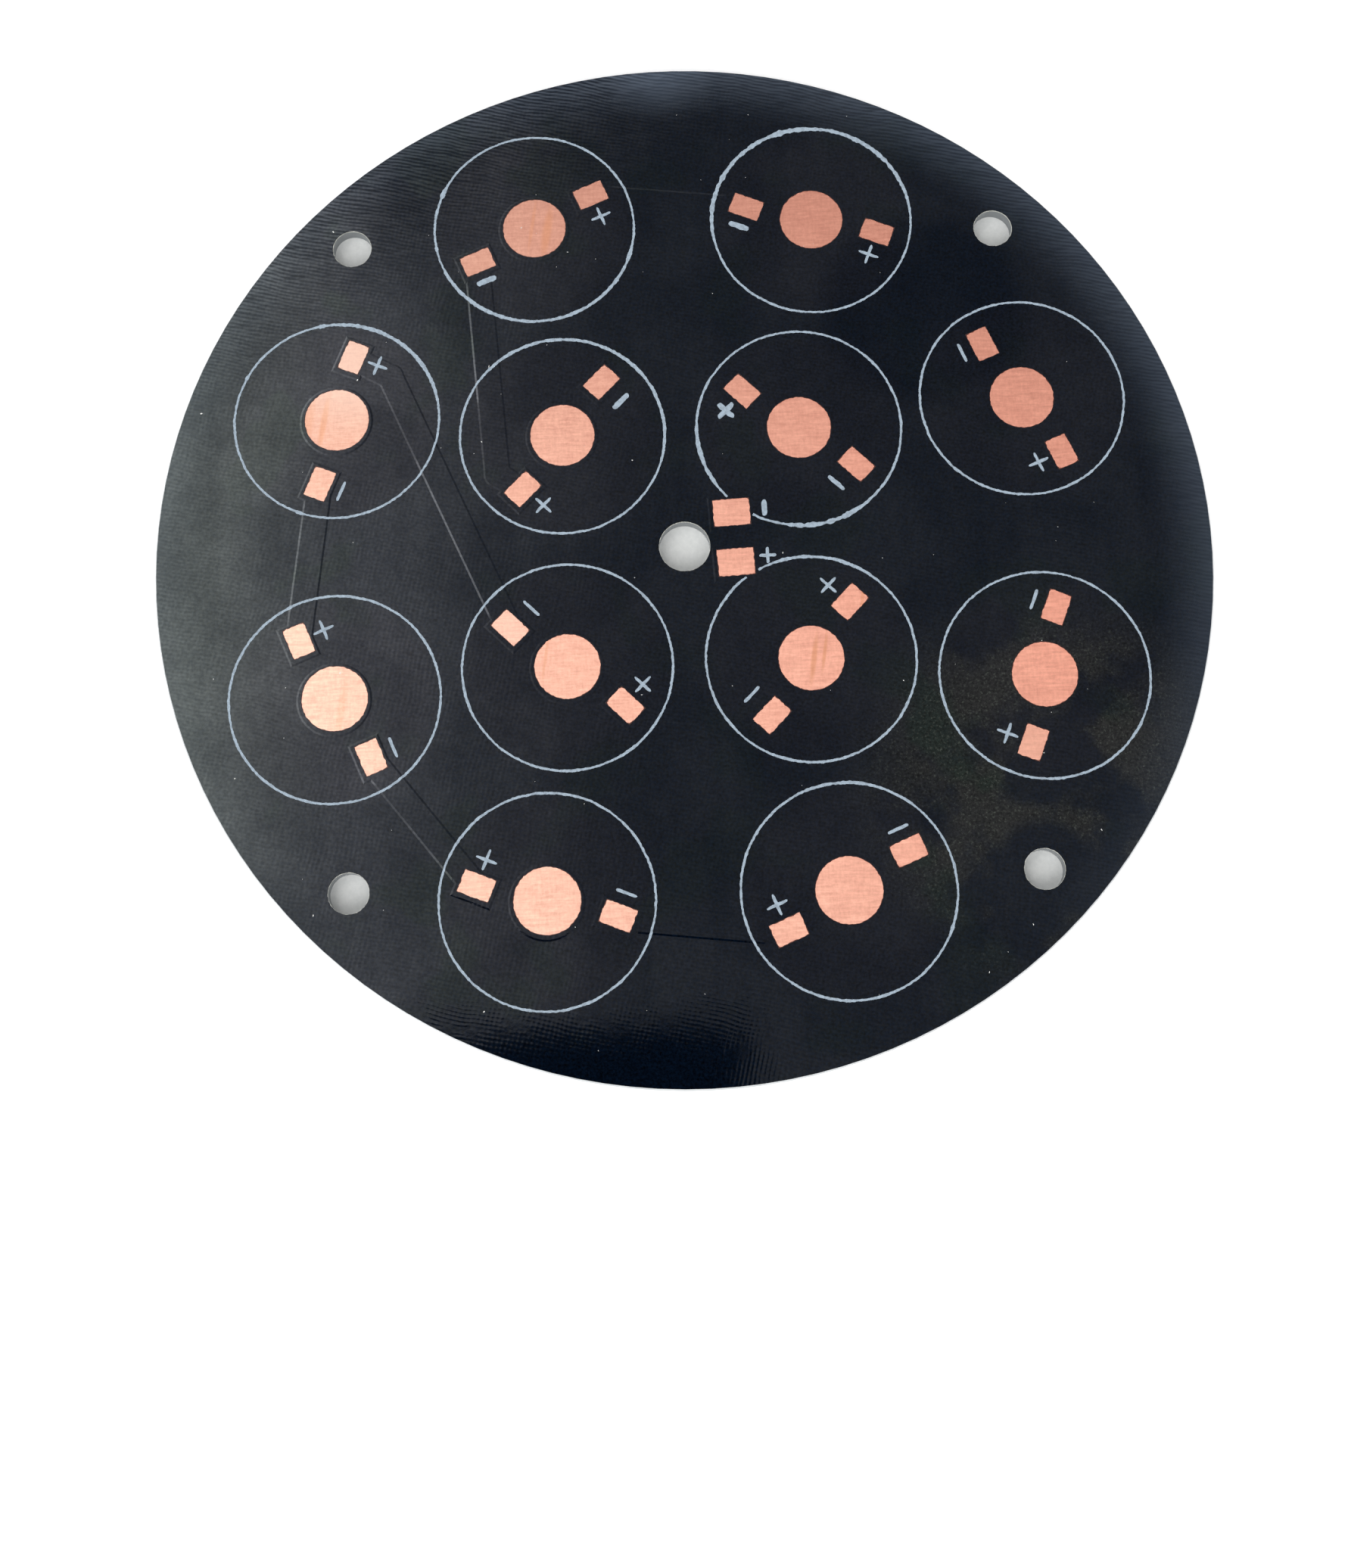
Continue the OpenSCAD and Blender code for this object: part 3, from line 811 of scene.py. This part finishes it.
def draw_sign(bm, place, arms, reach, stroke, taper, seed):
    """A polarity sign: a small square with an arm along each axis named in arms, narrowing to its tip."""
    verts = bmesh.ops.create_grid(bm, x_segments=1, y_segments=1, size=stroke / 2)["verts"]
    drawn = list(verts)
    for edge in edges_of(verts):
        side = edge.verts[0].co + edge.verts[1].co
        axis = 0 if abs(side.x) > abs(side.y) else 1
        if "xy"[axis] not in arms:
            continue
        away = Vector((0, 0, 0))
        away[axis] = math.copysign((reach - stroke / 2) / SIGN_STEPS, side[axis])
        for i in range(1, SIGN_STEPS + 1):
            pulled = bmesh.ops.extrude_edge_only(bm, edges=[edge])
            edge = next(part for part in pulled["geom"] if isinstance(part, bmesh.types.BMEdge))
            moved = new_verts(pulled)
            bmesh.ops.translate(bm, vec=away, verts=moved)
            centre = (moved[0].co + moved[1].co) / 2
            along = i / SIGN_STEPS
            share = (1 - taper * along) * math.sqrt(TIP_WHOLE - along ** TIP_FALL)
            for v in moved:
                v.co = centre + (v.co - centre).normalized() * stroke / 2 * share
            drawn += moved
    for v in drawn:
        shift_x = ragged(v.co, WOBBLE_SIZE, seed)
        shift_y = ragged(v.co, WOBBLE_SIZE, seed + SIDEWAYS_SEED)
        v.co += Vector((shift_x, shift_y, 0)) * WOBBLE * stroke
    bmesh.ops.transform(bm, matrix=place, verts=drawn)


# Polarity signs beside the pads of every site and of the feed
bm = bmesh.new()
for k, (spot, heading) in enumerate(sites, 1):
    place = at(spot + film_shift, heading)
    plus_stroke = SIGN_STROKE
    minus_stroke = BLOT_STROKE if k in BLOTTED_SITES else SIGN_STROKE
    if k == BLOTTED_SITES[-1]:
        plus_stroke = BLOT_STROKE
        minus_stroke = THIN_BLOT_STROKE
    outer_row = spot.length > ROW_SPLIT
    plus = place @ Matrix.Translation(OUTER_PLUS_SIGN if outer_row else INNER_PLUS_SIGN)
    minus = place @ Matrix.Translation(OUTER_MINUS_SIGN if outer_row else INNER_MINUS_SIGN)
    draw_sign(bm, plus, "xy", SIGN_REACH, plus_stroke, PLUS_TAPER, k)
    draw_sign(bm, minus, "x", SIGN_REACH, minus_stroke, MINUS_TAPER, k + MINUS_SEED)
feed_signs = (
    (FEED_PLUS_SIGN, "xy", FEED_PLUS_STROKE, FEED_PLUS_SEED),
    (FEED_MINUS_SIGN, "y", FEED_MINUS_STROKE, FEED_MINUS_SEED),
)
for spot, arms, stroke, seed in feed_signs:
    draw_sign(bm, at(spot, 0), arms, FEED_SIGN_REACH, stroke, FEED_SIGN_TAPER, seed)
lay(bm)
thicken(bm, INK_T)
finish_piece("polarity_signs", bm, ink)


def feather_depth(point, reach, seed):
    """How far a feathered edge reaches in at a point, from nothing to about its full reach."""
    return reach * (0.5 + 0.5 * ragged(point, FEATHER_SIZE, seed))


def feather_disc(bm, spot, radius, reach, least, seed):
    """A ragged band of thin lacquer inside a round window, from a least share of its reach up."""
    tip = bm.verts.layers.float["tip"]
    rim = bmesh.ops.create_circle(bm, segments=FEATHER_STEPS, radius=radius)["verts"]
    inner = new_verts(bmesh.ops.extrude_edge_only(bm, edges=edges_of(rim)))
    for v in inner:
        v[tip] = 1
        deep = reach * least + feather_depth(v.co, reach * (1 - least), seed)
        v.co *= (radius - max(deep, FEATHER_LEAST)) / radius
    bmesh.ops.translate(bm, vec=spot, verts=rim + inner)


def feather_pad(bm, spot, heading, size, seed):
    """A ragged band of thin lacquer round the inside of a pad's window, wider in the corners."""
    tip = bm.verts.layers.float["tip"]
    cuts = [round(s / FEATHER_CELL) for s in size]
    verts = bmesh.ops.create_grid(bm, x_segments=cuts[0], y_segments=cuts[1], size=0.5)["verts"]
    rim = {v for v in verts if v.is_boundary}
    waste = [f for f in dict.fromkeys(f for v in verts for f in v.link_faces) if rim.isdisjoint(f.verts)]
    bmesh.ops.scale(bm, vec=Vector((size[0], size[1], 1)), verts=verts)
    bmesh.ops.delete(bm, geom=waste, context="FACES")
    kept = [v for v in verts if v.is_valid]
    for v in kept:
        if v in rim:
            continue
        v[tip] = 1
        gap = [size[i] / 2 - abs(v.co[i]) for i in (0, 1)]
        deep = feather_depth(v.co, FEATHER_REACH, seed) + CORNER_FILL * math.exp(-max(gap) / CORNER_SIZE)
        for i in (0, 1):
            if gap[i] < 1.5 * FEATHER_CELL:  # in the row next to the window's wall
                v.co[i] = math.copysign(size[i] / 2 - max(deep, FEATHER_LEAST), v.co[i])
    bmesh.ops.transform(bm, matrix=at(spot, heading), verts=kept)


def start_feather():
    """An empty drawing whose vertices carry how near they are to the tip of the feather."""
    bm = bmesh.new()
    bm.verts.layers.float.new("tip")
    return bm


def set_height(bm, height):
    """Lifts a flat drawing to a height."""
    for v in bm.verts:
        v.co.z = height


# Feathered edges of the mask on the bare copper of the windows
bm = start_feather()
for k, (spot, heading) in enumerate(sites, 1):
    feather_disc(bm, spot + film_shift, SLUG_WINDOW_R, FEATHER_REACH, SLUG_FEATHER_SHARE, k)
    for sign in (-1, 1):
        pad = at(spot, heading) @ (sign * PLUS_PAD)
        feather_pad(bm, pad + film_shift, heading, PAD_WINDOW, PAD_SEED + k + SITE_COUNT * sign)
for i, spot in enumerate(FEED_MIDDLES):
    feather_pad(bm, spot + film_shift, FEED_TURN, FEED_WINDOW, FEED_SEED + i)
set_height(bm, copper_top)
thicken(bm, FEATHER_T)
finish_piece("mask_feather", bm, feather)

# Ragged mask edge over the bare resin round the holes
bm = start_feather()
for i, (spot, radius) in enumerate(holes):
    feather_disc(bm, spot, radius + MASK_SETBACK, MASK_SETBACK, HOLE_FEATHER_SHARE, HOLE_SEED + i)
set_height(bm, resin_top)
thicken(bm, 2 * FEATHER_T)
finish_piece("hole_feather", bm, lacquer)

# Dust grains scattered over the top
bm = bmesh.new()
for _ in range(DUST_COUNT):
    turn = dice.uniform(0, 2 * math.pi)
    out = DUST_FIELD_R * math.sqrt(dice.random())
    spot = Vector((out * math.cos(turn), out * math.sin(turn), 0))
    if any((spot - hole).length < radius + DUST_HOLE_CLEAR for hole, radius in holes):
        continue
    size = DUST_LEAST + DUST_SPREAD * dice.random() ** 3
    verts = bmesh.ops.create_icosphere(bm, subdivisions=1, radius=size)["verts"]
    for v in verts:
        v.co *= dice.uniform(*DUST_LUMPS)
    stretch = Vector((dice.uniform(*DUST_LENGTH), dice.uniform(*DUST_WIDTH), DUST_FLATNESS))
    bmesh.ops.scale(bm, vec=stretch, verts=verts)
    place = at(spot + top_height(spot) * UP, dice.uniform(0, math.pi))
    bmesh.ops.transform(bm, matrix=place, verts=verts)
finish_piece("dust_grains", bm, dry_dust())

# Floor: open under the board, so that the back can be looked at from below, with paper under each hole
bm = bmesh.new()
for radius in ((board_r - MASK_SETBACK) * MM, FLOOR_R):
    bmesh.ops.create_circle(bm, segments=FLOOR_STEPS, radius=radius)
bmesh.ops.bridge_loops(bm, edges=bm.edges[:])
for spot, radius in holes:
    reach = (radius + MASK_SETBACK) * MM
    disc = bmesh.ops.create_circle(bm, cap_ends=True, segments=HOLE_STEPS, radius=reach)["verts"]
    bmesh.ops.translate(bm, vec=(spot - FLOOR_DROP * UP) * MM, verts=disc)
bm.normal_update()
bmesh.ops.reverse_faces(bm, faces=[f for f in bm.faces if f.normal.z < 0])
link_object("floor", bm, white_paper())


# Soft room: levels of its lights, where 1 is white
DIM_AXIS = Vector((0.05, 0.24, 1)).normalized()
DIM_FULL = math.cos(0.18)
DIM_END = math.cos(0.55)
DIM_SHARE = 0.45
FRONT_LEVEL = 1.4
BACK_LEVEL = 0.55
WINDOW_RISE = 40.0
WINDOW_LEVEL = 2.6
DEEP_LEVEL = 1.0
TOP_LEVEL = 0.8
LOW_LEVEL = 1.4
GLOW_LEVEL = 0.07
SCREEN_LEVEL = 0.02
RIPPLE_SCALE = 9.0
RIPPLE_REACH = 0.02
SCREEN_LEAN = -0.05


def left_window(tree, across, along):
    """A tall window: brighter the farther to the left, between two edges that close in on each other."""
    leftward = add(tree, "Math", {0: across, 1: 0.0}, **LEAST)
    rise = add(tree, "Math", {0: leftward, 1: leftward}, **TIMES)
    rise = add(tree, "Math", {0: rise, 1: WINDOW_RISE}, **TIMES)
    pane = add(tree, "Math", {0: rise, 1: WINDOW_LEVEL}, **LEAST)
    deep = add(tree, "MapRange", {"Value": across, START: -0.35, END: -0.5, AT_END: DEEP_LEVEL}, **SMOOTH)
    pane = add(tree, "Math", {0: pane, 1: deep})
    near_line = add(tree, "Math", {0: across, 1: 0.6, 2: along}, **TIMES_PLUS)
    near_edge = add(tree, "MapRange", {"Value": near_line, START: -0.4, END: -0.1}, **SMOOTH)
    far_line = add(tree, "Math", {0: across, 1: -0.5, 2: along}, **TIMES_PLUS)
    far_edge = add(tree, "MapRange", {"Value": far_line, START: 0.65, END: 0.55}, **SMOOTH)
    pane = add(tree, "Math", {0: pane, 1: near_edge}, **TIMES)
    return add(tree, "Math", {0: pane, 1: far_edge}, **TIMES)


def dark_screen(tree, ray, across, along):
    """The share of light that a dark screen lets by; it is mirrored in the near rim."""
    ripple = add(tree, "TexNoise", {"Vector": ray, "Scale": RIPPLE_SCALE, "Detail": 2})
    far_side = add(tree, "Math", {0: ripple, 1: RIPPLE_REACH, 2: along}, **TIMES_PLUS)
    far_side = add(tree, "Math", {0: across, 1: SCREEN_LEAN, 2: far_side}, **TIMES_PLUS)
    dark = add(tree, "MapRange", {"Value": far_side, START: 0.064, END: 0.058})
    right = add(tree, "MapRange", {"Value": across, START: 0.044, END: 0.03})
    near = add(tree, "MapRange", {"Value": along, START: -0.4, END: -0.3})
    left = add(tree, "MapRange", {"Value": across, START: -0.26, END: -0.18})
    for edge in (right, near, left):
        dark = add(tree, "Math", {0: dark, 1: edge}, **TIMES)
    return add(tree, "MapRange", {"Value": dark, AT_START: 1.0, AT_END: SCREEN_LEVEL})


# Soft room: a tall window at the left, dim walls, and a dark screen above the near rim
world = bpy.data.worlds.new("soft_room")
bpy.context.scene.world = world
world.use_nodes = True
tree = world.node_tree
tree.nodes.clear()
ray = add(tree, "TexCoord", {}).outputs["Generated"]
axes = add(tree, "SeparateXYZ", {0: ray})
across = axes.outputs["X"]
along = axes.outputs["Y"]
facing = add(tree, "VectorMath", {0: ray, 1: DIM_AXIS}, operation="DOT_PRODUCT")
dimmed = add(tree, "MapRange", {
    "Value": facing, START: DIM_FULL, END: DIM_END, AT_START: DIM_SHARE, AT_END: 1.0}, **SMOOTH)
level = add(tree, "MapRange", {
    "Value": along, START: -0.6, END: 0.15, AT_START: FRONT_LEVEL, AT_END: BACK_LEVEL})
level = add(tree, "Math", {0: level, 1: dimmed}, **TIMES)
# A faint glow over the left half, a paler band above the far rim, and a low light at the front
glow = add(tree, "MapRange", {"Value": across, START: 0.05, END: -0.05, AT_END: GLOW_LEVEL}, **SMOOTH)
band_start = add(tree, "MapRange", {"Value": along, START: 0.47, END: 0.57, AT_END: TOP_LEVEL})
band_end = add(tree, "MapRange", {"Value": along, START: 0.67, END: 0.57}, **SMOOTH)
band = add(tree, "Math", {0: band_start, 1: band_end}, **TIMES)
front = add(tree, "MapRange", {"Value": along, START: -0.35, END: -0.55, AT_END: LOW_LEVEL}, **SMOOTH)
for light in (left_window(tree, across, along), glow, band, front):
    level = add(tree, "Math", {0: level, 1: light})
level = add(tree, "Math", {0: level, 1: dark_screen(tree, ray, across, along)}, **TIMES)
# White backdrop, low all round
lifted = add(tree, "MapRange", {"Value": axes.outputs["Z"], START: 0.3, END: 0.45}, **SMOOTH)
level = add(tree, "Mix", {"Factor": lifted, VALUE_A: 1.0, VALUE_B: level})
sky = add(tree, "Background", {"Color": linear("#ffffff"), "Strength": level})
add(tree, "OutputWorld", {"Surface": sky})

# Soft square lamp, turned to the middle of the board
panel = bpy.data.lights.new("low_light", "AREA")
panel.size = LAMP_SIZE
panel.energy = LAMP_WATTS
lamp = bpy.data.objects.new("low_light", panel)
bpy.context.scene.collection.objects.link(lamp)
lamp.location = LAMP_PLACE
lamp.rotation_euler = (-LAMP_PLACE).to_track_quat("-Z", "Y").to_euler()

# Camera
ahead = math.cos(ELEVATION)
reach = Vector((math.sin(AZIMUTH) * ahead, -math.cos(AZIMUTH) * ahead, math.sin(ELEVATION)))
lens = bpy.data.cameras.new("camera")
lens.lens = LENS
lens.sensor_width = SENSOR_WIDTH
lens.shift_y = SHIFT_UP
lens.clip_start = 0.01
lens.clip_end = 20
camera = bpy.data.objects.new("camera", lens)
bpy.context.scene.collection.objects.link(camera)
camera.location = (AIM + reach * CAMERA_AWAY) * MM
camera.rotation_euler = (-reach).to_track_quat("-Z", "Y").to_euler()
bpy.context.scene.camera = camera

bpy.context.scene.view_settings.view_transform = "Standard"
